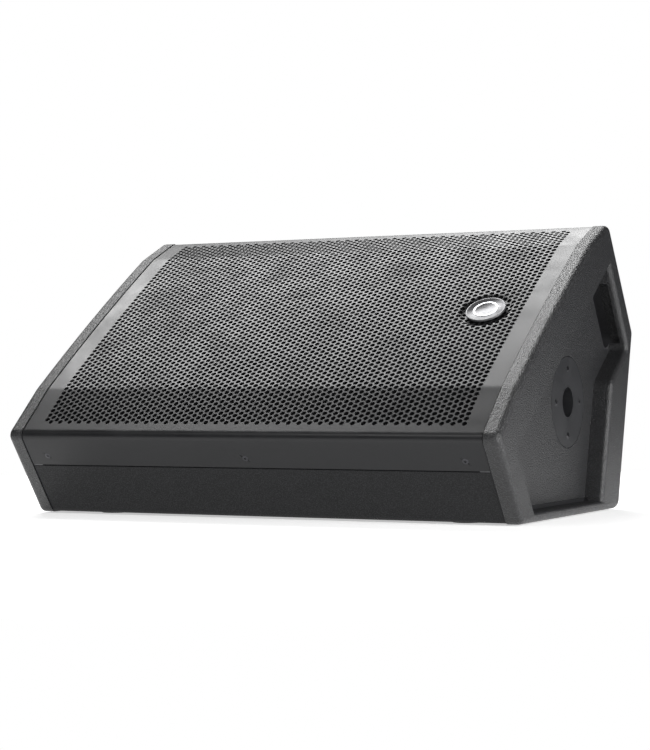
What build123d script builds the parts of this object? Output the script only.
"""A powered stage monitor wedge: a plywood cabinet between two end caps, with one coaxial driver.

X runs along the length, Y from the audience-side nose to the rear, and Z up. The origin is on the
floor, under the middle of the whole wedge. All sizes are in millimetres and angles in degrees.
"""
import os
from math import atan2, cos, degrees, hypot, radians, sin, tan

from build123d import *

# ---------------------------------------------------------------- driving dimensions: side outline
overall_length = 646.0          # end cap to end cap, along X
depth_to_corners = 453.6        # nose corner to rear corner, before they are rounded
height_to_corner = 352.5        # underside to the top corner, before it is rounded
floor_gap = 1.5                 # the rubber feet lift the underside this far off the floor
nose_height = 97.9              # underside to the nose corner
front_lean = 35.33              # the front leans back below the nose, from upright
lower_facet = 81.8              # length of the facet above the nose
lower_facet_slope = 42.92       # its rise from level
upper_facet = 64.5              # length of the facet below the top corner
upper_facet_slope = 24.18
rear_height = 220.1             # underside to the rear corner
rear_lean = 14.69               # the rear leans in below its corner, from upright
rear_top_slope = 56.43          # fall of the face behind the top corner, from level
main_crown = 3.0                # the main grille face bulges this far between its bends
nose_round = 11.0
bend_round = 60.0
top_round = 10.0
rear_round = 12.0
rear_foot_round = 13.0
front_foot_round = 9.5

# ---------------------------------------------------------------- driving dimensions: cabinet
cap_thickness = 20.1            # end cap, outside the seam
seam_gap = 1.0                  # dark joint between an end cap and everything beside it
rim_round = 8.0                 # round between the rim of an end cap and its side face
skin_inset = 1.0                # panels and grille lie this far inside the end cap's rim
panel_thickness = 15.0
baffle_thickness = 18.0
baffle_depth = 30.0             # main grille face down to the baffle board
board_thickness = 15.0          # side boards
joint_clearance = 0.3           # glue line between boards

# ---------------------------------------------------------------- driving dimensions: end recess
recess_depth = 24.0             # side face down to the side board
window_front = 33.0             # width of the cap's frame along each side of the outline
window_main = 51.5
window_rear_top = 29.5
window_rear = 64.0
window_bottom = 11.5
window_step_height = 157.0      # where the rear edge steps out for the hand
window_step_slope = 34.93       # rise of that step from level
lip_round = 6.0                 # round of the window's rear edges
low_lip_round = 3.0             # and of its bottom edge
grip_thickness = 9.0            # cap left in front of the fingers
pocket_width = 27.5
pocket_length = 88.0
pocket_depth = 26.0             # behind the face of the side board
pocket_wall = 2.5
pocket_flange = 1.4
pocket_clearance = 0.6          # pocket flange to the panel behind it
pocket_rise = 7.5               # pocket end above the step in the window

# ---------------------------------------------------------------- driving dimensions: pole socket
pole_diameter = 36.0
pole_wall = 2.8
pole_socket_depth = 88.0
pole_plate_diameter = 109.3
pole_plate_thickness = 3.0
pole_plate_gap = 0.8
pole_height = 133.3             # above the underside
pole_to_rear_edge = 87.0        # from the rear edge of the recess
pole_screw_circle = 80.0

# ---------------------------------------------------------------- driving dimensions: grille
sheet = 1.5
foam = 4.0
lip_length = 46.4               # plain lip folded down over the nose
lip_slot = 1.6                  # groove under the lip
lip_screw_inset = 13.2          # lip edge to its screws
lip_screw_spread = 275.5        # outer screws from the middle
badge_diameter = 49.0
badge_thickness = 2.0
badge_side = 233.0              # from the middle, along X
badge_up = 152.0                # from the lower bend, up the slope

# ---------------------------------------------------------------- driving dimensions: driver
flange_radius = 194.0
cutout_radius = 176.0
bolt_circle_radius = 185.0
basket_sheet = 3.0
coil_radius = 37.8              # inside of the voice coil former
magnet_radius = 88.0
top_plate_depth = 94.0          # baffle face down to the motor's top plate
top_plate_thickness = 10.0
magnet_thickness = 24.0
yoke_thickness = 12.0
throat_radius = 12.5
horn_mouth_radius = 62.0
horn_mouth = -6.0               # heights in the driver are above the baffle's face
horn_wall = 2.5
coil_wall = 0.5
winding = 1.3
coil_gap = 0.6                  # air between the coil and the iron on each side of it
flange_bore = 170.0             # radius inside the basket's flange
shoulder = -14.0                # height where the basket starts to narrow
basket_waist = 90.0
basket_foot = 58.0
basket_windows = 8
window_radii_of_basket = (104.0, 158.0)
basket_window_top = -18.0
basket_window_depth = 44.0
gasket_inner = 176.3
gasket_outer = 180.0
gasket_thickness = 3.0
coil_overhang = 5.0             # winding past each face of the top plate
spider_seat = -66.0
spider_outer = 84.0
spider_ripple = 3.0
spider_cloth = 0.8
neck_height = -60.0             # where the cone meets the voice coil former
cone_rim = (157.0, 1.0)
cone_bow = (100.0, -35.0)       # the cone is a little deeper than straight here
cone_paper = 1.6
surround_seat = 4.2
surround_top = 9.0
surround_rubber = 1.2
hf_radius = 48.0
hf_depth = 34.0
port_radius = 35.0
port_wall = 3.0
port_length = 105.0
port_side = 231.0
port_down = 125.0
port_flange = 7.0               # how far the flange reaches past the tube
port_flange_thickness = 3.0
port_mouth_round = 2.5

# ---------------------------------------------------------------- driving dimensions: amplifier
amp_width = 320.0
amp_height = 150.0
amp_sheet = 3.0
amp_gasket_thickness = 1.0
amp_rebate = 5.0                # the amplifier plate lies in this step of the rear panel
amp_land = 11.0                 # width of the step

# Seen from behind, these places on the amplifier plate are right of and above its middle.
input_spot = (-118, 22)
link_spot = (-76, 22)
knob_spot = (-18, 26)
lift_spot = (22, 26)
eq_spot = (46, 26)
led_spot = (68, 26)
switch_spot = (112, 30)
mains_spot = (112, -30)
plate_fit = 0.15                # gap round what goes through the plate
amp_screw_inset = 5.5
jack_size = (26, 31)
jack_flange = 2.0
jack_barrel = 11.8
jack_depth = 24.0
input_bore = 8.6                # radius of the hole for a plug
link_bore = 9.2                 # radius of the hole for a cord's socket
jack_bore_depth = 18.0
pin_radius = 1.2
pin_circle = 4.0
pin_length = 13.0
latch_size = (7.0, 4.0)
latch_rise = 11.5               # jack's middle to its latch
latch_gap = 0.8
knob_radius = 8.0
knob_height = 13.0
knob_grooves = 18
bushing_radius = 4.0
shaft_radius = 3.0
control_side = 17.0             # body of the volume control
control_depth = 12.0
button_side = 7.0
button_gap = 1.2
button_rise = 3.0
switch_body_depth = 16.0
led_radius = 2.5
rocker_size = (13.0, 19.0)
rocker_tilt = 9.0               # the rocker rests tilted this far, with its lower end pressed in
rocker_pivot = 3.0              # pivot below the outer face of the plate
switch_bezel = 1.5
socket_body_depth = 22.0        # power switch and mains inlet, behind the plate
mains_size = (28.0, 22.0)
mains_flange = 2.0
mains_bore_depth = 19.0
mains_pins = ((-7, -2), (0, 3), (7, -2))
heatsink_center = (-40.0, -38.0)
heatsink_size = (170.0, 44.0)
heatsink_depth = 24.0
heatsink_base = 5.0
fin_pitch = 8.0
fin_thickness = 2.0
fin_count = 21
board_depth = 30.0              # plate_in to the circuit board
board_center = (-26, 0)
board_size = (236, 112)
circuit_thickness = 1.6
standoff_radius = 4.0
capacitor_spots = [(-120, 30), (-120, 2), (-120, -26)]
capacitor_radius = 9.0
capacitor_height = 16.0
choke_spots = [(60, 25), (60, -8)]
choke_size = (26, 22)
choke_height = 14.0
chip_size = (10, 14)
chip_height = 3.0
transformer_spot = (118, 0)
transformer_radius = 25.0
transformer_bore = 9.0
transformer_height = 26.0
transformer_bolt_radius = 4.0

# Feet, lining and rails
foot_radius = 19.0
foot_height = 6.0
foot_from_end = 85.0            # end of the wedge to the middle of a foot
foot_from_edge = 45.0           # front or rear edge of the underside to the middle of a foot
lining = 12.0
lining_end_gap = 12.0           # side board to the end of the floor lining
rail = 9.0

# ---------------------------------------------------------------- outline geometry


def unit(dy, dz):
    length = hypot(dy, dz)
    return dy / length, dz / length


def step(point, length, angle):
    """The point a length away, at an angle above level."""
    return point[0] + length * cos(radians(angle)), point[1] + length * sin(radians(angle))


def side_corners(nose_y):
    """Corners of the side outline, clockwise from the front of the underside."""
    base = floor_gap
    nose = (nose_y, base + nose_height)
    front_foot = (nose_y + nose_height * tan(radians(front_lean)), base)
    rear = (nose_y + depth_to_corners, base + rear_height)
    rear_foot = (rear[0] - rear_height * tan(radians(rear_lean)), base)
    top = (rear[0] - (height_to_corner - rear_height) / tan(radians(rear_top_slope)),
           base + height_to_corner)
    lower_bend = step(nose, lower_facet, lower_facet_slope)
    upper_bend = step(top, -upper_facet, upper_facet_slope)
    return [front_foot, nose, lower_bend, upper_bend, top, rear, rear_foot]


FRONT, LOWER, MAIN, UPPER, REAR_TOP, REAR, BOTTOM = range(7)
corner_rounds = [front_foot_round, nose_round, bend_round, bend_round, top_round, rear_round,
                 rear_foot_round]


def corner_reach(corner, before, after, radius, sign):
    """How far forwards (-1) or backwards (+1) a rounded corner of the outline reaches."""
    a = unit(before[0] - corner[0], before[1] - corner[1])
    b = unit(after[0] - corner[0], after[1] - corner[1])
    half = (a[0] + b[0], a[1] + b[1])
    middle = unit(*half)
    sine = abs(a[0] * middle[1] - a[1] * middle[0])
    return corner[0] + middle[0] * radius / sine + sign * radius


rough = side_corners(0.0)
front_reach = corner_reach(rough[1], rough[0], rough[2], nose_round, -1)
rear_reach = corner_reach(rough[5], rough[4], rough[6], rear_round, 1)
corners = side_corners(-(front_reach + rear_reach) / 2)
front_foot, nose, lower_bend, upper_bend, top_corner, rear_corner, rear_foot = corners

edges_of_side = []
for index, start in enumerate(corners):
    end = corners[(index + 1) % len(corners)]
    edges_of_side.append((start, unit(end[0] - start[0], end[1] - start[1])))
lip_start = (nose[0] - edges_of_side[FRONT][1][0] * lip_length,
             nose[1] - edges_of_side[FRONT][1][1] * lip_length)
LIP_EDGE = len(edges_of_side)
edges_of_side.append((lip_start, (edges_of_side[FRONT][1][1], -edges_of_side[FRONT][1][0])))


def inward(edge):
    dy, dz = edges_of_side[edge][1]
    return dz, -dy


def meet(edge_a, inset_a, edge_b, inset_b):
    """Where two edges of the outline cross, once each is moved inwards."""
    (ay, az), (ady, adz) = edges_of_side[edge_a]
    (by, bz), (bdy, bdz) = edges_of_side[edge_b]
    ay, az = ay + inward(edge_a)[0] * inset_a, az + inward(edge_a)[1] * inset_a
    by, bz = by + inward(edge_b)[0] * inset_b, bz + inward(edge_b)[1] * inset_b
    along = ((by - ay) * bdz - (bz - az) * bdy) / (ady * bdz - adz * bdy)
    return ay + ady * along, az + adz * along


def outline(x, insets, rounds=None):
    """The side outline moved inwards edge by edge, as a sketch at a place along X."""
    points = [meet(index - 1 if index else BOTTOM, insets[index - 1], index, insets[index])
              for index in range(7)]
    out_y, out_z = inward(MAIN)
    crown = ((points[2][0] + points[3][0]) / 2 - out_y * main_crown,
             (points[2][1] + points[3][1]) / 2 - out_z * main_crown)
    with BuildSketch(Plane.YZ.offset(x)) as sketch:
        with BuildLine():
            Polyline(points[3:] + points[:3])
            ThreePointArc(points[2], crown, points[3])
        make_face()
        if rounds:
            for point, radius in zip(points, rounds):
                if radius:
                    fillet(sketch.vertices().sort_by_distance(Vector(*point))[0], radius)
    return sketch.sketch


def polygon(x, points, radii=None):
    """A closed outline of YZ points as a sketch at a place along X, with some corners rounded."""
    with BuildSketch(Plane.YZ.offset(x)) as sketch:
        with BuildLine():
            Polyline(points, close=True)
        make_face()
        for point, radius in zip(points, radii or []):
            if radius:
                fillet(sketch.vertices().sort_by_distance(Vector(*point))[0], radius)
    return sketch.sketch


# ---------------------------------------------------------------- places that pieces share
cap_face = overall_length / 2
seam = cap_face - cap_thickness
skin_end = seam - seam_gap              # panels and grille end here
board_face = cap_face - recess_depth    # outer face of a side board
board_back = board_face - board_thickness
panel_inner = skin_inset + panel_thickness
under_grille = skin_inset + sheet + foam + 0.5
core = panel_inner + joint_clearance    # side boards fit inside the panels
core_insets = [core, under_grille, under_grille, under_grille, core, core, core]

slope = degrees(atan2(upper_bend[1] - lower_bend[1], upper_bend[0] - lower_bend[0]))
normal = (0, -sin(radians(slope)), cos(radians(slope)))
low_end = meet(FRONT, panel_inner, MAIN, baffle_depth)
high_end = meet(REAR_TOP, panel_inner, MAIN, baffle_depth)
baffle_middle = ((low_end[0] + high_end[0]) / 2, (low_end[1] + high_end[1]) / 2)
baffle_plane = Plane(origin=(0, *baffle_middle), x_dir=(1, 0, 0), z_dir=normal)
driver_axis = Axis((0, *baffle_middle), normal)
driver_section = Plane(origin=(0, *baffle_middle), x_dir=(1, 0, 0),
                       z_dir=(0, -normal[2], normal[1]))

rear_middle = ((rear_corner[0] + rear_foot[0]) / 2, (rear_corner[1] + rear_foot[1]) / 2)
rear_out = (0, cos(radians(rear_lean)), -sin(radians(rear_lean)))
amp_plane = Plane(origin=(0, rear_middle[0] - rear_out[1] * skin_inset,
                          rear_middle[1] - rear_out[2] * skin_inset),
                  x_dir=(-1, 0, 0), z_dir=rear_out)

# Window in an end cap: along the slope in front, and stepped out behind for the hand.
LEVEL = len(edges_of_side)
edges_of_side.append(((0, floor_gap + window_step_height), (1, 0)))
window_step = meet(REAR, window_rear, LEVEL, 0)
STEP_EDGE = len(edges_of_side)
edges_of_side.append((window_step, (cos(radians(window_step_slope)),
                                    sin(radians(window_step_slope)))))
window_low = meet(REAR, window_rear, BOTTOM, window_bottom)
window_points = [
    meet(FRONT, window_front, BOTTOM, window_bottom),
    meet(FRONT, window_front, MAIN, window_main),
    meet(MAIN, window_main, REAR_TOP, window_rear_top),
    meet(REAR_TOP, window_rear_top, STEP_EDGE, 0),
    window_step,
    window_low,
]
window_radii = [0, 4, 0, 8, 14, 0]

POLE_LEVEL = len(edges_of_side)
edges_of_side.append(((0, floor_gap + pole_height), (1, 0)))
pole_edge = meet(REAR, window_rear, POLE_LEVEL, 0)
pole_center = (pole_edge[0] - pole_to_rear_edge, pole_edge[1])

# Finger pocket behind the frame at the top rear of each window.
pocket_inset = (panel_inner + pocket_clearance + pocket_flange + pocket_wall
                + pocket_width / 2)
pocket_start = meet(REAR_TOP, pocket_inset, STEP_EDGE, 0)
grip_dy, grip_dz = edges_of_side[REAR_TOP][1]
pocket_center = (pocket_start[0] - grip_dy * (pocket_length / 2 + pocket_rise),
                 pocket_start[1] - grip_dz * (pocket_length / 2 + pocket_rise))


def pocket(x, grow=0.0):
    """The finger pocket's rounded outline at a place along X."""
    place = Plane(origin=(x, *pocket_center), x_dir=(0, grip_dy, grip_dz), z_dir=(1, 0, 0))
    with BuildSketch(place) as sketch:
        RectangleRounded(pocket_length + 2 * grow, pocket_width + 2 * grow, 12 + grow)
    return sketch.sketch


def inset_of(spot, edge):
    """How far a point lies inside one edge of the outline."""
    (y, z), _ = edges_of_side[edge]
    return (spot.Y - y) * inward(edge)[0] + (spot.Z - z) * inward(edge)[1]


def outward_plane(point, edge, x=0.0, inset=0.0):
    """A plane on one face of the cabinet, with Z pointing out of it."""
    out_y, out_z = -inward(edge)[0], -inward(edge)[1]
    return Plane(origin=(x, point[0] - out_y * inset, point[1] - out_z * inset),
                 x_dir=(1, 0, 0), z_dir=(0, out_y, out_z))


def screws(plane, spots, shank, length, head, head_height):
    """A set of countersunk screws on one plane, their heads flush with it."""
    with BuildPart() as group:
        for spot in spots:
            with Locations(plane * Location(spot)):
                Cylinder(shank, length, align=(Align.CENTER, Align.CENTER, Align.MAX))
                Cone(shank, head, head_height, align=(Align.CENTER, Align.CENTER, Align.MAX))
    return group.part


# ---------------------------------------------------------------- fasteners that cut their own holes
grille_screw_plane = outward_plane(meet(FRONT, skin_inset, LIP_EDGE, -lip_screw_inset), FRONT)
with BuildPart() as grille_screws:
    add(screws(grille_screw_plane, [(x, 0) for x in (-lip_screw_spread, 0, lip_screw_spread)],
               1.9, 15, 3.8, 2.4))

pole_face = Plane(origin=(board_face, *pole_center), x_dir=(0, 1, 0), z_dir=(1, 0, 0))
with BuildPart() as pole_socket_screws:
    ring = [(pole_screw_circle / 2 * cos(radians(a)), pole_screw_circle / 2 * sin(radians(a)))
            for a in range(0, 360, 90)]
    add(screws(pole_face, ring, 2.0, 17, 4.0, 2.2))

with BuildPart() as woofer_screws:
    flange_top = baffle_plane.offset(basket_sheet)
    ring = [(bolt_circle_radius * cos(radians(a)), bolt_circle_radius * sin(radians(a)))
            for a in range(0, 360, 45)]
    add(screws(flange_top, ring, 2.5, 20, 4.8, 2.4))

# Screws from inside, through each side board into the thick frame of its end cap.
cap_screw_spots = [
    meet(FRONT, core + 9, LOWER, 40),
    meet(MAIN, 28, UPPER, 55),
    meet(MAIN, 28, LOWER, 60),
    meet(REAR, 36, STEP_EDGE, 40),
    meet(REAR, 36, BOTTOM, 32),
]
with BuildPart() as end_cap_screws:
    back = Plane(origin=(board_back, 0, 0), x_dir=(0, 1, 0), z_dir=(-1, 0, 0))
    add(screws(back, [(spot[0], -spot[1]) for spot in cap_screw_spots], 2.0, 26, 4.0, 2.2))
    mirror(about=Plane.YZ)

# ---------------------------------------------------------------- end caps
with BuildPart() as right_end_cap:
    extrude(outline(seam, [0] * 7, corner_rounds), amount=cap_thickness)
    fillet(right_end_cap.faces().sort_by(Axis.X)[-1].edges(), rim_round)
    extrude(outline(board_face, core_insets), amount=seam - board_face)
    extrude(polygon(board_face, window_points, window_radii), amount=recess_depth,
            mode=Mode.SUBTRACT)
    mouth = right_end_cap.faces().sort_by(Axis.X)[-1].inner_wires()[0].edges()
    behind = [edge for edge in mouth if inset_of(edge.center(), MAIN) > window_main + 2
              and inset_of(edge.center(), FRONT) > window_front + 2]
    low = [edge for edge in behind if inset_of(edge.center(), BOTTOM) < window_bottom + 0.5]
    fillet([edge for edge in behind if edge not in low], lip_round)
    mouth = right_end_cap.faces().sort_by(Axis.X)[-1].inner_wires()[0].edges()
    low = [edge for edge in mouth if inset_of(edge.center(), BOTTOM) < window_bottom + 0.5]
    fillet(low, low_lip_round)
    extrude(pocket(board_face), amount=recess_depth - grip_thickness, mode=Mode.SUBTRACT)
    add(end_cap_screws.part, mode=Mode.SUBTRACT)

with BuildPart() as left_end_cap:
    mirror(right_end_cap.part, about=Plane.YZ)

# ---------------------------------------------------------------- side boards and the pole socket
cup_outer = pole_diameter / 2 + pole_wall
with BuildPart() as right_side_board:
    extrude(outline(board_back, core_insets), amount=board_thickness)
    extrude(pocket(board_back, pocket_wall + 0.2), amount=board_thickness, mode=Mode.SUBTRACT)
    with BuildSketch(pole_face):
        Circle(pole_plate_diameter / 2 + pole_plate_gap)
    extrude(amount=-pole_plate_thickness, mode=Mode.SUBTRACT)
    with BuildSketch(pole_face):
        Circle(cup_outer + 0.3)
    extrude(amount=-board_thickness, mode=Mode.SUBTRACT)
    add(end_cap_screws.part, mode=Mode.SUBTRACT)
    add(pole_socket_screws.part, mode=Mode.SUBTRACT)

with BuildPart() as left_side_board:
    extrude(outline(-board_face, core_insets), amount=board_thickness)
    extrude(pocket(-board_face, pocket_wall + 0.2), amount=board_thickness, mode=Mode.SUBTRACT)
    add(end_cap_screws.part, mode=Mode.SUBTRACT)

with BuildPart() as pole_socket_plate:
    with BuildSketch(pole_face):
        Circle(pole_plate_diameter / 2)
        Circle(cup_outer + 0.1, mode=Mode.SUBTRACT)
    extrude(amount=-pole_plate_thickness)
    add(pole_socket_screws.part, mode=Mode.SUBTRACT)

with BuildPart() as pole_socket_cup:
    with BuildSketch(pole_face):
        Circle(cup_outer)
    extrude(amount=-(pole_socket_depth + pole_wall))
    with BuildSketch(pole_face):
        Circle(pole_diameter / 2)
    extrude(amount=-pole_socket_depth, mode=Mode.SUBTRACT)

# The hand pocket: a moulded tray set into each side board from inside.
with BuildPart() as right_hand_pocket:
    extrude(pocket(board_face - pocket_depth - pocket_wall, pocket_wall),
            amount=pocket_depth + pocket_wall)
    extrude(pocket(board_back - 2.5, pocket_wall + pocket_flange), amount=2.4)
    extrude(pocket(board_face - pocket_depth), amount=pocket_depth, mode=Mode.SUBTRACT)

with BuildPart() as left_hand_pocket:
    mirror(right_hand_pocket.part, about=Plane.YZ)

# ---------------------------------------------------------------- panels
sheet_inner = skin_inset + sheet + 0.1
nose_inner_round = nose_round - sheet_inner
skin_rounds = [radius - skin_inset for radius in corner_rounds]
skin_outline = outline(0, [skin_inset] * 7, skin_rounds)
with BuildPart() as lower_front_panel:
    extrude(polygon(0, [
        meet(FRONT, skin_inset, BOTTOM, skin_inset),
        meet(FRONT, skin_inset, LIP_EDGE, lip_slot),
        meet(FRONT, sheet_inner, LIP_EDGE, lip_slot),
        meet(FRONT, sheet_inner, LOWER, sheet_inner),
        meet(FRONT, panel_inner, LOWER, sheet_inner),
        meet(FRONT, panel_inner, BOTTOM, panel_inner),
    ], [0, 1, 0, nose_inner_round, 0, 0]), amount=skin_end, both=True)
    extrude(skin_outline, amount=skin_end, both=True, mode=Mode.INTERSECT)
    add(grille_screws.part, mode=Mode.SUBTRACT)

foot_x = overall_length / 2 - foot_from_end
foot_spots = [(x, y) for x in (-foot_x, foot_x)
              for y in (front_foot[0] + foot_from_edge, rear_foot[0] - foot_from_edge)]
with BuildPart() as bottom_panel:
    extrude(polygon(0, [
        meet(FRONT, skin_inset, BOTTOM, skin_inset),
        meet(FRONT, panel_inner, BOTTOM, panel_inner),
        meet(REAR, panel_inner, BOTTOM, panel_inner),
        meet(REAR, skin_inset, BOTTOM, skin_inset),
    ]), amount=skin_end, both=True)
    extrude(skin_outline, amount=skin_end, both=True, mode=Mode.INTERSECT)
    for x in (board_face, -skin_end):
        extrude(polygon(x, window_points), amount=skin_end - board_face, mode=Mode.SUBTRACT)
    with BuildSketch(Plane.XY):
        with Locations(*foot_spots):
            Circle(foot_radius + 0.1)
    extrude(amount=foot_height + 0.1, mode=Mode.SUBTRACT)

with BuildPart() as rubber_feet:
    with BuildSketch(Plane.XY):
        with Locations(*foot_spots):
            Circle(foot_radius)
    extrude(amount=foot_height)
    chamfer(rubber_feet.faces().filter_by(Axis.Z).group_by(Axis.Z)[0].edges(), 0.8)

with BuildPart() as rear_upper_panel:
    extrude(polygon(0, [
        meet(UPPER, sheet_inner, REAR_TOP, skin_inset),
        meet(REAR_TOP, skin_inset, REAR, skin_inset),
        meet(REAR_TOP, panel_inner, REAR, panel_inner),
        meet(UPPER, sheet_inner, REAR_TOP, panel_inner),
    ]), amount=skin_end, both=True)
    extrude(outline(0, [skin_inset, skin_inset, skin_inset, sheet_inner, skin_inset, skin_inset,
                        skin_inset], skin_rounds), amount=skin_end, both=True,
            mode=Mode.INTERSECT)

amp_through = (amp_width - 2 * amp_land, amp_height - 2 * amp_land)
amp_screw_x = amp_width / 2 - amp_screw_inset
amp_screw_y = amp_height / 2 - amp_screw_inset
amp_screw_spots = [(x, y) for x in (-amp_screw_x, 0, amp_screw_x)
                   for y in (-amp_screw_y, amp_screw_y)]
plate_out = amp_plane.offset(-(amp_rebate - amp_gasket_thickness - amp_sheet))
plate_in = amp_plane.offset(-(amp_rebate - amp_gasket_thickness))
with BuildPart() as amp_screws:
    add(screws(plate_out, amp_screw_spots, 1.5, 14, 2.9, 1.6))

with BuildPart() as rear_lower_panel:
    extrude(polygon(0, [
        meet(REAR_TOP, skin_inset, REAR, skin_inset),
        meet(REAR, skin_inset, BOTTOM, skin_inset),
        meet(REAR, panel_inner, BOTTOM, panel_inner),
        meet(REAR_TOP, panel_inner, REAR, panel_inner),
    ]), amount=skin_end, both=True)
    extrude(skin_outline, amount=skin_end, both=True, mode=Mode.INTERSECT)
    with BuildSketch(amp_plane):
        Rectangle(amp_width + 1, amp_height + 1)
    extrude(amount=-amp_rebate, mode=Mode.SUBTRACT)
    with BuildSketch(amp_plane):
        RectangleRounded(*amp_through, 6)
    extrude(amount=-panel_thickness - 1, mode=Mode.SUBTRACT)
    add(amp_screws.part, mode=Mode.SUBTRACT)

# ---------------------------------------------------------------- baffle board and grille
board_end = board_back - joint_clearance
port_spots = [(-port_side, -port_down), (port_side, -port_down)]
port_outer = port_radius + port_wall
with BuildPart() as baffle_board:
    extrude(polygon(0, [
        meet(FRONT, core, MAIN, baffle_depth),
        meet(REAR_TOP, core, MAIN, baffle_depth),
        meet(REAR_TOP, core, MAIN, baffle_depth + baffle_thickness),
        meet(FRONT, core, MAIN, baffle_depth + baffle_thickness),
    ]), amount=board_end, both=True)
    with BuildSketch(baffle_plane):
        Circle(cutout_radius)
        with Locations(*port_spots):
            Circle(port_outer + 0.2)
    extrude(amount=-baffle_thickness - 1, mode=Mode.SUBTRACT)
    add(woofer_screws.part, mode=Mode.SUBTRACT)

with BuildPart() as grille:
    extrude(skin_outline, amount=skin_end, both=True)
    inner = skin_inset + sheet
    extrude(outline(0, [inner] * 7, [radius - inner for radius in corner_rounds]),
            amount=skin_end, both=True, mode=Mode.SUBTRACT)
    extrude(polygon(0, [
        meet(FRONT, -60, LOWER, -60),
        meet(FRONT, -60, LIP_EDGE, 0),
        meet(FRONT, 25, LIP_EDGE, 0),
        meet(REAR_TOP, 30, MAIN, 60),
        meet(REAR_TOP, 30, UPPER, inner),
        meet(REAR_TOP, skin_inset, UPPER, inner),
        meet(REAR_TOP, skin_inset, UPPER, -60),
    ]), amount=skin_end, both=True, mode=Mode.INTERSECT)
    add(grille_screws.part, mode=Mode.SUBTRACT)

foam_front = panel_inner + 1.0
foam_insets = [foam_front, sheet_inner, sheet_inner, sheet_inner, foam_front, foam_front,
               foam_front]
foam_back = [foam_front if index in (FRONT, REAR_TOP, REAR, BOTTOM) else sheet_inner + foam
             for index in range(7)]
with BuildPart() as grille_foam:
    soft_bends = [0, 0, bend_round - sheet_inner, bend_round - sheet_inner, 0, 0, 0]
    extrude(outline(0, foam_insets, soft_bends), amount=skin_end - 2, both=True)
    extrude(outline(0, foam_back, soft_bends), amount=skin_end - 2, both=True,
            mode=Mode.SUBTRACT)

main_length = hypot(upper_bend[0] - lower_bend[0], upper_bend[1] - lower_bend[1])
badge_rise = main_crown * (1 - (2 * badge_up / main_length - 1) ** 2) - skin_inset
badge_spot = step(lower_bend, badge_up, slope)
badge_plane = Plane(origin=(badge_side, badge_spot[0] + normal[1] * badge_rise,
                            badge_spot[1] + normal[2] * badge_rise),
                    x_dir=(1, 0, 0), z_dir=normal)
with BuildPart() as badge:
    with BuildSketch(badge_plane.offset(0.1)):
        Circle(badge_diameter / 2)
    extrude(amount=badge_thickness)
    fillet(badge.faces().sort_by(Axis((0, 0, 0), normal))[-1].edges(), 0.8)

# ---------------------------------------------------------------- coaxial driver
# Sections are drawn in a plane through the driver's axis: X is the radius, Y the height above the
# face of the baffle board.
top_plate_face = -top_plate_depth
magnet_face = top_plate_face - top_plate_thickness
yoke_face = magnet_face - magnet_thickness
motor_back = yoke_face - yoke_thickness
pole_radius = coil_radius - coil_gap
top_plate_bore = coil_radius + coil_wall + winding + coil_gap


def section_points(points):
    """A closed outline of (radius, height) points for the piece being turned."""
    with BuildSketch(driver_section) as sketch:
        with BuildLine():
            Polyline(points, close=True)
        make_face()
    return sketch.sketch


with BuildPart() as woofer_basket:
    revolve(section_points([
        (flange_bore, basket_sheet), (flange_radius, basket_sheet), (flange_radius, 0),
        (flange_bore + basket_sheet, 0), (flange_bore + basket_sheet, shoulder),
        (basket_waist + basket_sheet, spider_seat - 2),
        (basket_waist + basket_sheet, top_plate_face), (basket_foot, top_plate_face),
        (basket_foot, top_plate_face + basket_sheet),
        (basket_waist, top_plate_face + basket_sheet),
        (basket_waist, spider_seat - basket_sheet),
        (spider_outer - 8, spider_seat - basket_sheet), (spider_outer - 8, spider_seat),
        (basket_waist, spider_seat), (flange_bore, shoulder + 2),
    ]), axis=driver_axis)
    with BuildSketch(baffle_plane.offset(basket_window_top)):
        with PolarLocations(0, basket_windows):
            with BuildLine():
                outer = CenterArc((0, 0), window_radii_of_basket[1], -15, 30)
                inner = CenterArc((0, 0), window_radii_of_basket[0], -13, 26)
                Line(outer @ 0, inner @ 0)
                Line(outer @ 1, inner @ 1)
            make_face()
    extrude(amount=-basket_window_depth, mode=Mode.SUBTRACT)
    add(woofer_screws.part, mode=Mode.SUBTRACT)

with BuildPart() as woofer_top_plate:
    revolve(section_points([
        (top_plate_bore, top_plate_face), (magnet_radius, top_plate_face),
        (magnet_radius, magnet_face), (top_plate_bore, magnet_face),
    ]), axis=driver_axis)

with BuildPart() as woofer_magnet:
    revolve(section_points([
        (top_plate_bore + 10, magnet_face), (magnet_radius + 4, magnet_face),
        (magnet_radius + 4, yoke_face), (top_plate_bore + 10, yoke_face),
    ]), axis=driver_axis)

with BuildPart() as woofer_yoke:
    revolve(section_points([
        (throat_radius, top_plate_face), (pole_radius, top_plate_face), (pole_radius, yoke_face),
        (magnet_radius, yoke_face), (magnet_radius, motor_back), (throat_radius, motor_back),
    ]), axis=driver_axis)

with BuildPart() as woofer_gasket:
    revolve(section_points([
        (gasket_inner, basket_sheet), (gasket_outer, basket_sheet),
        (gasket_outer, basket_sheet + gasket_thickness),
        (gasket_inner, basket_sheet + gasket_thickness),
    ]), axis=driver_axis)

with BuildPart() as voice_coil:
    revolve(section_points([
        (coil_radius, neck_height), (coil_radius + coil_wall, neck_height),
        (coil_radius + coil_wall, top_plate_face + coil_overhang),
        (coil_radius + coil_wall + winding, top_plate_face + coil_overhang),
        (coil_radius + coil_wall + winding, magnet_face - coil_overhang),
        (coil_radius, magnet_face - coil_overhang),
    ]), axis=driver_axis)

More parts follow.
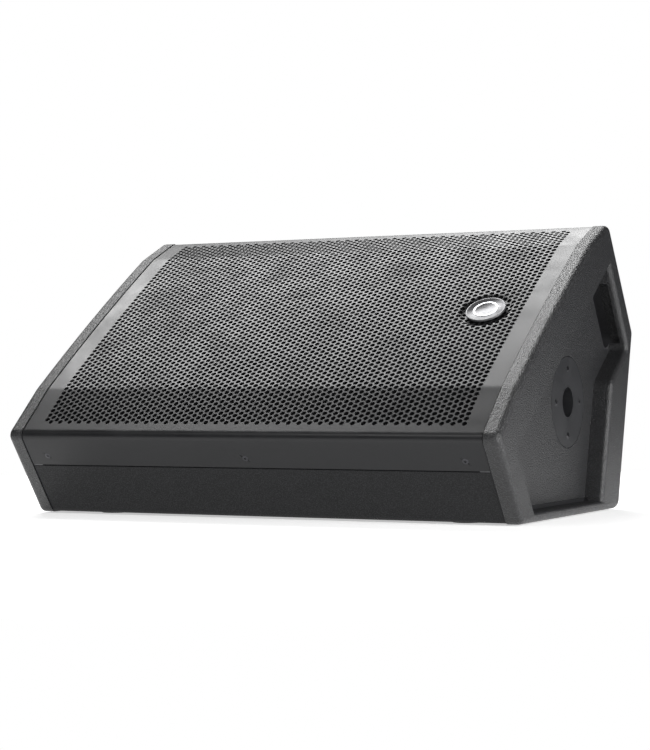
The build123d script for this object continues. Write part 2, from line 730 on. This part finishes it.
cone_root = coil_radius + coil_wall
with BuildPart() as woofer_cone:
    revolve(section_points([
        (cone_root, neck_height), (cone_root, neck_height - 4), (cone_root + 3, neck_height - 4),
        cone_bow, cone_rim, (cone_rim[0], cone_rim[1] + cone_paper),
        (cone_bow[0] - 1, cone_bow[1] + cone_paper + 0.4), (cone_root + 3, neck_height),
    ]), axis=driver_axis)

roll = (cone_rim[0] + flange_bore) / 2 + surround_rubber
with BuildPart() as woofer_surround:
    with BuildSketch(driver_section):
        with BuildLine():
            low = ThreePointArc((cone_rim[0] + 2, surround_seat), (roll, surround_top),
                                (flange_bore - 0.5, surround_seat))
            high = ThreePointArc((cone_rim[0] + 0.5, surround_seat),
                                 (roll, surround_top + surround_rubber),
                                 (flange_bore + 1, surround_seat))
            Polyline(high @ 1, (gasket_inner - 0.3, surround_seat),
                     (gasket_inner - 0.3, basket_sheet + 0.1),
                     (flange_bore - 0.5, basket_sheet + 0.1), low @ 1)
            Polyline(low @ 0, (cone_rim[0] + 2, 2.8), (cone_rim[0] - 6, 2.2),
                     (cone_rim[0] - 6, 3.4), high @ 0)
        make_face()
    revolve(axis=driver_axis)

with BuildPart() as woofer_spider:
    pitch = (spider_outer - cone_root - 6) / 6
    crests = [(cone_root + 4 + pitch * k, spider_seat + 1 + (spider_ripple if k % 2 else 0))
              for k in range(7)]
    revolve(section_points([(cone_root + 0.3, spider_seat + 1)] + crests
                           + [(spider_outer + 3, spider_seat + 1)]
                           + [(spider_outer + 3, spider_seat + 1 - spider_cloth)]
                           + [(y, z - spider_cloth) for y, z in reversed(crests)]
                           + [(cone_root + 0.3, spider_seat + 1 - spider_cloth)]), axis=driver_axis)

# The high-frequency horn stands on the pole, inside the voice coil and in front of the cone.
with BuildPart() as hf_horn:
    with BuildSketch(driver_section):
        with BuildLine():
            throat = (throat_radius, top_plate_face)
            flare = Spline((horn_mouth_radius, horn_mouth), (27, -45), throat,
                           tangents=[(-1, -0.55), (-0.12, -1)])
            outside = Spline((throat_radius + 8, top_plate_face), (27 + horn_wall + 1.5, -47),
                             (horn_mouth_radius + 0.5, horn_mouth - horn_wall - 0.5),
                             tangents=[(0.1, 1), (1, 0.55)])
            Line(flare @ 1, outside @ 0)
            Polyline(outside @ 1, (horn_mouth_radius + 2.5, horn_mouth - 1),
                     (horn_mouth_radius + 1.5, horn_mouth), flare @ 0)
        make_face()
    revolve(axis=driver_axis)

with BuildPart() as compression_driver:
    back = motor_back - hf_depth
    revolve(section_points([
        (throat_radius, motor_back), (hf_radius, motor_back), (hf_radius, back + 6),
        (hf_radius - 6, back), (0, back), (0, back + 4), (hf_radius - 8, back + 4),
        (hf_radius - 8, back + 14), (throat_radius, back + 20),
    ]), axis=driver_axis)

with BuildPart() as hf_diaphragm:
    dome = 6.0
    back = motor_back - hf_depth + 4.4
    with BuildSketch(driver_section):
        with BuildLine():
            low = ThreePointArc((0, back), (14, back + 1.6), (24, back + dome))
            top = ThreePointArc((0, back + 0.6), (13.6, back + 2.2), (23.4, back + dome))
            Line(low @ 0, top @ 0)
            Line(low @ 1, top @ 1)
        make_face()
    revolve(axis=driver_axis)

with BuildPart() as left_port:
    with BuildSketch(baffle_plane):
        with Locations(port_spots[0]):
            Circle(port_outer)
    extrude(amount=-port_length)
    with BuildSketch(baffle_plane):
        with Locations(port_spots[0]):
            Circle(port_outer + port_flange)
    extrude(amount=port_flange_thickness)
    with BuildSketch(baffle_plane.offset(port_flange_thickness)):
        with Locations(port_spots[0]):
            Circle(port_radius)
    extrude(amount=-port_length - port_flange_thickness, mode=Mode.SUBTRACT)
    mouth = left_port.faces().sort_by(Axis((0, 0, 0), normal))[-1].edges().sort_by(SortBy.LENGTH)
    fillet(mouth[0], port_mouth_round)

with BuildPart() as right_port:
    mirror(left_port.part, about=Plane.YZ)

# ---------------------------------------------------------------- amplifier on the rear panel
# Seen from behind, X of this plane runs to the right and Y up the panel; plate_out is the outer
# face of the amplifier plate and plate_in its inner face.
with BuildPart() as amp_gasket:
    with BuildSketch(plate_in.offset(-amp_gasket_thickness)):
        Rectangle(amp_width, amp_height)
        RectangleRounded(*amp_through, 6, mode=Mode.SUBTRACT)
    extrude(amount=amp_gasket_thickness)
    add(amp_screws.part, mode=Mode.SUBTRACT)

with BuildPart() as amp_plate:
    with BuildSketch(plate_in):
        RectangleRounded(amp_width, amp_height, 4)
        with Locations(input_spot, link_spot):
            Circle(jack_barrel + plate_fit, mode=Mode.SUBTRACT)
        with Locations(knob_spot):
            Circle(bushing_radius + plate_fit, mode=Mode.SUBTRACT)
        with Locations(lift_spot, eq_spot):
            Rectangle(button_side + button_gap, button_side + button_gap, mode=Mode.SUBTRACT)
        with Locations(led_spot):
            Circle(led_radius + plate_fit, mode=Mode.SUBTRACT)
        with Locations(switch_spot):
            Rectangle(rocker_size[0] + 5, rocker_size[1] + 5, mode=Mode.SUBTRACT)
        with Locations(mains_spot):
            Rectangle(mains_size[0] + 0.4, mains_size[1] + 0.4, mode=Mode.SUBTRACT)
        with Locations((input_spot[0], input_spot[1] + latch_rise)):
            Rectangle(latch_size[0] + latch_gap, latch_size[1] + latch_gap, mode=Mode.SUBTRACT)
    extrude(amount=amp_sheet)
    add(amp_screws.part, mode=Mode.SUBTRACT)

with BuildPart() as input_jack:
    with BuildSketch(plate_out):
        with Locations(input_spot):
            RectangleRounded(*jack_size, 2.5)
    extrude(amount=jack_flange)
    with BuildSketch(plate_out):
        with Locations(input_spot):
            Circle(jack_barrel)
    extrude(amount=-jack_depth)
    with BuildSketch(plate_out.offset(jack_flange)):
        with Locations(input_spot):
            Circle(input_bore)
    extrude(amount=-jack_bore_depth, mode=Mode.SUBTRACT)
    with BuildSketch(plate_out.offset(jack_flange)):
        with Locations((input_spot[0], input_spot[1] + latch_rise)):
            Rectangle(latch_size[0] + latch_gap, latch_size[1] + latch_gap)
    extrude(amount=-6, mode=Mode.SUBTRACT)

with BuildPart() as input_latch:
    with BuildSketch(plate_out.offset(-0.5)):
        with Locations((input_spot[0], input_spot[1] + latch_rise)):
            RectangleRounded(*latch_size, 0.8)
    extrude(amount=4.5)

with BuildPart() as link_jack:
    with BuildSketch(plate_out):
        with Locations(link_spot):
            RectangleRounded(*jack_size, 2.5)
    extrude(amount=jack_flange)
    with BuildSketch(plate_out):
        with Locations(link_spot):
            Circle(jack_barrel)
    extrude(amount=-jack_depth)
    with BuildSketch(plate_out.offset(jack_flange)):
        with Locations(link_spot):
            Circle(link_bore)
    extrude(amount=-jack_bore_depth, mode=Mode.SUBTRACT)
    with BuildSketch(plate_out.offset(jack_flange - jack_bore_depth)):
        with Locations(link_spot):
            with PolarLocations(pin_circle, 3, start_angle=90):
                Circle(pin_radius)
    extrude(amount=pin_length)

with BuildPart() as volume_control:
    with BuildSketch(plate_in.offset(-control_depth)):
        with Locations(knob_spot):
            RectangleRounded(control_side, control_side, 1.5)
    extrude(amount=control_depth - 0.2)
    with BuildSketch(plate_in.offset(-0.2)):
        with Locations(knob_spot):
            Circle(bushing_radius)
    extrude(amount=amp_sheet + 0.4)
    with BuildSketch(plate_in.offset(-9)):
        with Locations(knob_spot):
            Circle(shaft_radius + 0.05)
    extrude(amount=20, mode=Mode.SUBTRACT)

with BuildPart() as volume_knob:
    with BuildSketch(plate_out.offset(1)):
        with Locations(knob_spot):
            Circle(knob_radius)
    extrude(amount=knob_height)
    chamfer(volume_knob.faces().sort_by(Axis((0, 0, 0), rear_out))[-1].edges(), 0.5)
    with BuildSketch(plate_out.offset(1 + knob_height)):
        with Locations(knob_spot):
            with PolarLocations(knob_radius + 0.2, knob_grooves):
                Circle(0.7)
    extrude(amount=-(knob_height - 2), mode=Mode.SUBTRACT)
    with BuildSketch(plate_in.offset(-8.5)):
        with Locations(knob_spot):
            Circle(shaft_radius)
    extrude(amount=16)
    with BuildSketch(plate_out.offset(1 + knob_height)):
        with Locations((knob_spot[0], knob_spot[1] + knob_radius / 2)):
            Rectangle(1.2, knob_radius - 1)
    extrude(amount=-0.8, mode=Mode.SUBTRACT)

button_parts = {}
for button_name, spot in (("lift_button", lift_spot), ("eq_button", eq_spot)):
    with BuildPart() as button:
        with BuildSketch(plate_in.offset(-4)):
            with Locations(spot):
                RectangleRounded(button_side, button_side, 1)
        extrude(amount=4 + amp_sheet + button_rise)
        chamfer(button.faces().sort_by(Axis((0, 0, 0), rear_out))[-1].edges(), 0.6)
    button_parts[button_name] = button

with BuildPart() as button_switches:
    with BuildSketch(plate_in.offset(-switch_body_depth)):
        with Locations(lift_spot, eq_spot):
            RectangleRounded(button_side + 5, button_side + 5, 1)
    extrude(amount=switch_body_depth - 0.2)
    with BuildSketch(plate_in.offset(-8)):
        with Locations(lift_spot, eq_spot):
            Rectangle(button_side + button_gap, button_side + button_gap)
    extrude(amount=12, mode=Mode.SUBTRACT)

with BuildPart() as status_led:
    with BuildSketch(plate_in.offset(-5)):
        with Locations(led_spot):
            Circle(led_radius)
    extrude(amount=5 + amp_sheet + 1.5)
    fillet(status_led.faces().sort_by(Axis((0, 0, 0), rear_out))[-1].edges(), 1.2)

with BuildPart() as power_switch:
    with BuildSketch(plate_out):
        with Locations(switch_spot):
            RectangleRounded(rocker_size[0] + 8, rocker_size[1] + 8, 2)
    extrude(amount=switch_bezel)
    with BuildSketch(plate_out):
        with Locations(switch_spot):
            Rectangle(rocker_size[0] + 4.6, rocker_size[1] + 4.6)
    extrude(amount=-socket_body_depth)
    with BuildSketch(plate_out.offset(switch_bezel)):
        with Locations(switch_spot):
            Rectangle(rocker_size[0] + 0.8, rocker_size[1] + 1.4)
    extrude(amount=-16, mode=Mode.SUBTRACT)

rocker_axle = plate_out.from_local_coords(
    Vector(switch_spot[0] - rocker_size[0] / 2, switch_spot[1], -rocker_pivot))
tilted = amp_plane.y_dir * cos(radians(rocker_tilt)) + Vector(rear_out) * sin(
    radians(rocker_tilt))
with BuildPart() as power_rocker:
    half = rocker_size[1] / 2 - 0.4
    with BuildSketch(Plane(origin=rocker_axle, x_dir=tilted, z_dir=amp_plane.x_dir)):
        with BuildLine():
            Polyline((-half, -1.5), (-half, 5.2), (0, 4.0), (half, 5.2), (half, -1.5), (2, -6),
                     (-2, -6), close=True)
        make_face()
    extrude(amount=rocker_size[0])

with BuildPart() as mains_inlet:
    with BuildSketch(plate_out):
        with Locations(mains_spot):
            RectangleRounded(mains_size[0] + 16, mains_size[1] + 5, 3)
    extrude(amount=mains_flange)
    with BuildSketch(plate_out):
        with Locations(mains_spot):
            RectangleRounded(*mains_size, 2)
    extrude(amount=-socket_body_depth)
    with BuildSketch(plate_out.offset(mains_flange)):
        with Locations(mains_spot):
            RectangleRounded(mains_size[0] - 4, mains_size[1] - 5, 2)
    extrude(amount=-mains_bore_depth, mode=Mode.SUBTRACT)
    with BuildSketch(plate_out.offset(mains_flange - mains_bore_depth)):
        with Locations(*[(mains_spot[0] + dx, mains_spot[1] + dy) for dx, dy in mains_pins]):
            Rectangle(2, 4)
    extrude(amount=10)

with BuildPart() as amp_heatsink:
    with BuildSketch(plate_in):
        with Locations(heatsink_center):
            Rectangle(*heatsink_size)
    extrude(amount=-heatsink_base)
    with BuildSketch(plate_in.offset(-heatsink_base)):
        with Locations(heatsink_center):
            with GridLocations(fin_pitch, 0, fin_count, 1):
                Rectangle(fin_thickness, heatsink_size[1])
    extrude(amount=-(heatsink_depth - heatsink_base))

standoff_spots = [(board_center[0] + x * (board_size[0] / 2 - 6), y * (board_size[1] / 2 - 6))
                  for x in (-1, 1) for y in (-1, 1)]
with BuildPart() as board_standoffs:
    with BuildSketch(plate_in):
        with Locations(*standoff_spots):
            RegularPolygon(standoff_radius, 6)
    extrude(amount=-board_depth)

with BuildPart() as amp_board:
    with BuildSketch(plate_in.offset(-board_depth)):
        with Locations(board_center):
            Rectangle(*board_size)
    extrude(amount=-circuit_thickness)

with BuildPart() as amp_components:
    under_board = plate_in.offset(-board_depth - circuit_thickness)
    with BuildSketch(under_board):
        with Locations(*capacitor_spots):
            Circle(capacitor_radius)
    extrude(amount=-capacitor_height)
    with BuildSketch(under_board):
        with Locations(*choke_spots):
            Rectangle(*choke_size)
    extrude(amount=-choke_height)
    with BuildSketch(under_board):
        with GridLocations(24, 30, 4, 3):
            Rectangle(*chip_size)
    extrude(amount=-chip_height)

with BuildPart() as power_transformer:
    with BuildSketch(plate_in.offset(-board_depth)):
        with Locations(transformer_spot):
            Circle(transformer_radius)
            Circle(transformer_bore, mode=Mode.SUBTRACT)
    extrude(amount=-transformer_height)
    ends = power_transformer.faces().filter_by(Axis((0, 0, 0), rear_out))
    fillet(ends.edges(), 4)

with BuildPart() as transformer_bolt:
    with BuildSketch(plate_in):
        with Locations(transformer_spot):
            Circle(transformer_bolt_radius)
    extrude(amount=-board_depth - transformer_height - 4)
    with BuildSketch(plate_in):
        with Locations(transformer_spot):
            Circle(12)
    extrude(amount=-4)
    with BuildSketch(plate_in.offset(-board_depth - transformer_height)):
        with Locations(transformer_spot):
            Circle(14)
    extrude(amount=-2)

# ---------------------------------------------------------------- lining and rails inside
with BuildPart() as floor_lining:
    extrude(polygon(0, [
        meet(FRONT, panel_inner + 2, BOTTOM, panel_inner),
        meet(FRONT, panel_inner + 2, BOTTOM, panel_inner + lining),
        meet(REAR, panel_inner + 2, BOTTOM, panel_inner + lining),
        meet(REAR, panel_inner + 2, BOTTOM, panel_inner),
    ]), amount=board_back - lining_end_gap, both=True)

with BuildPart() as rear_lining:
    extrude(polygon(0, [
        meet(REAR_TOP, panel_inner, REAR, panel_inner + 20),
        meet(REAR_TOP, panel_inner + lining, REAR, panel_inner + 20),
        meet(REAR_TOP, panel_inner + lining, MAIN, baffle_depth + baffle_thickness + 16),
        meet(REAR_TOP, panel_inner, MAIN, baffle_depth + baffle_thickness + 16),
    ]), amount=board_back - 2 * lining_end_gap, both=True)

with BuildPart() as grille_rails:
    for edge in (FRONT, REAR_TOP):
        extrude(polygon(0, [
            meet(edge, core, MAIN, baffle_depth),
            meet(edge, core + rail, MAIN, baffle_depth),
            meet(edge, core + rail, LOWER if edge == FRONT else UPPER, sheet_inner + foam),
            meet(edge, core, LOWER if edge == FRONT else UPPER, sheet_inner + foam),
        ]), amount=board_end, both=True)

# ---------------------------------------------------------------- write the pieces
pieces = {
    "right_end_cap": right_end_cap, "left_end_cap": left_end_cap,
    "end_cap_screws": end_cap_screws,
    "right_side_board": right_side_board, "left_side_board": left_side_board,
    "right_hand_pocket": right_hand_pocket, "left_hand_pocket": left_hand_pocket,
    "pole_socket_plate": pole_socket_plate, "pole_socket_cup": pole_socket_cup,
    "pole_socket_screws": pole_socket_screws,
    "lower_front_panel": lower_front_panel, "bottom_panel": bottom_panel,
    "rear_lower_panel": rear_lower_panel, "rear_upper_panel": rear_upper_panel,
    "rubber_feet": rubber_feet, "baffle_board": baffle_board, "grille_rails": grille_rails,
    "grille": grille, "grille_foam": grille_foam, "grille_screws": grille_screws,
    "badge": badge, "floor_lining": floor_lining, "rear_lining": rear_lining,
    "left_port": left_port, "right_port": right_port,
    "woofer_basket": woofer_basket, "woofer_gasket": woofer_gasket,
    "woofer_screws": woofer_screws, "woofer_top_plate": woofer_top_plate,
    "woofer_magnet": woofer_magnet, "woofer_yoke": woofer_yoke, "voice_coil": voice_coil,
    "woofer_cone": woofer_cone, "woofer_surround": woofer_surround,
    "woofer_spider": woofer_spider, "hf_horn": hf_horn,
    "compression_driver": compression_driver, "hf_diaphragm": hf_diaphragm,
    "amp_plate": amp_plate, "amp_gasket": amp_gasket, "amp_screws": amp_screws,
    "amp_heatsink": amp_heatsink, "amp_board": amp_board, "amp_components": amp_components,
    "board_standoffs": board_standoffs, "power_transformer": power_transformer,
    "transformer_bolt": transformer_bolt, "input_jack": input_jack,
    "input_latch": input_latch, "link_jack": link_jack, "volume_control": volume_control,
    "volume_knob": volume_knob, "button_switches": button_switches, **button_parts,
    "status_led": status_led, "power_switch": power_switch, "power_rocker": power_rocker,
    "mains_inlet": mains_inlet,
}
os.makedirs("parts", exist_ok=True)
for piece_name, piece in pieces.items():
    piece.part.label = piece_name
    export_step(piece.part, f"parts/{piece_name}.step")
